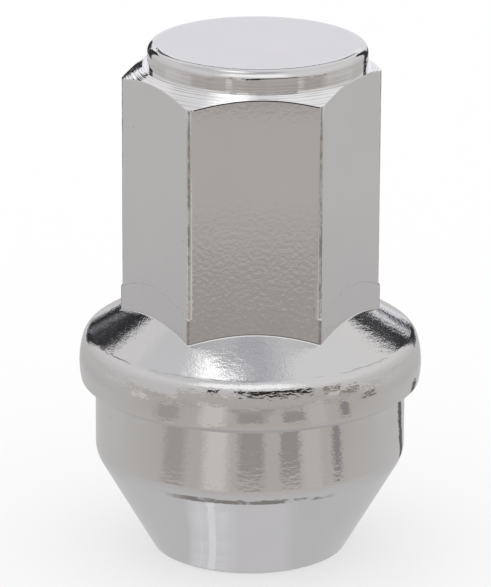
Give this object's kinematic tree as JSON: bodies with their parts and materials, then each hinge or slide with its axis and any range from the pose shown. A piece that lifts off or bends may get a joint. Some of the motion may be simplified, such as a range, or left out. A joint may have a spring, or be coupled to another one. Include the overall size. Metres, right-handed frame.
{
  "type": "acorn lug nut",
  "caption": "Closed-end wheel nut with a wrench hexagon, a flange, a plain collar, a tapered seat and a blind threaded bore, chrome plated.",
  "frame": {"origin": "middle of the open end, in the plane of its flat face", "axes": "+Z along the nut's axis towards the closed end; one flat of the hexagon faces -Y"},
  "size_m": [0.0322, 0.0322, 0.0489],
  "materials": {
    "chrome_plate": "polished chrome plate over forged and turned steel"
  },
  "bodies": {
    "root": {"lug_nut": "chrome_plate"}
  },
  "joints": []
}
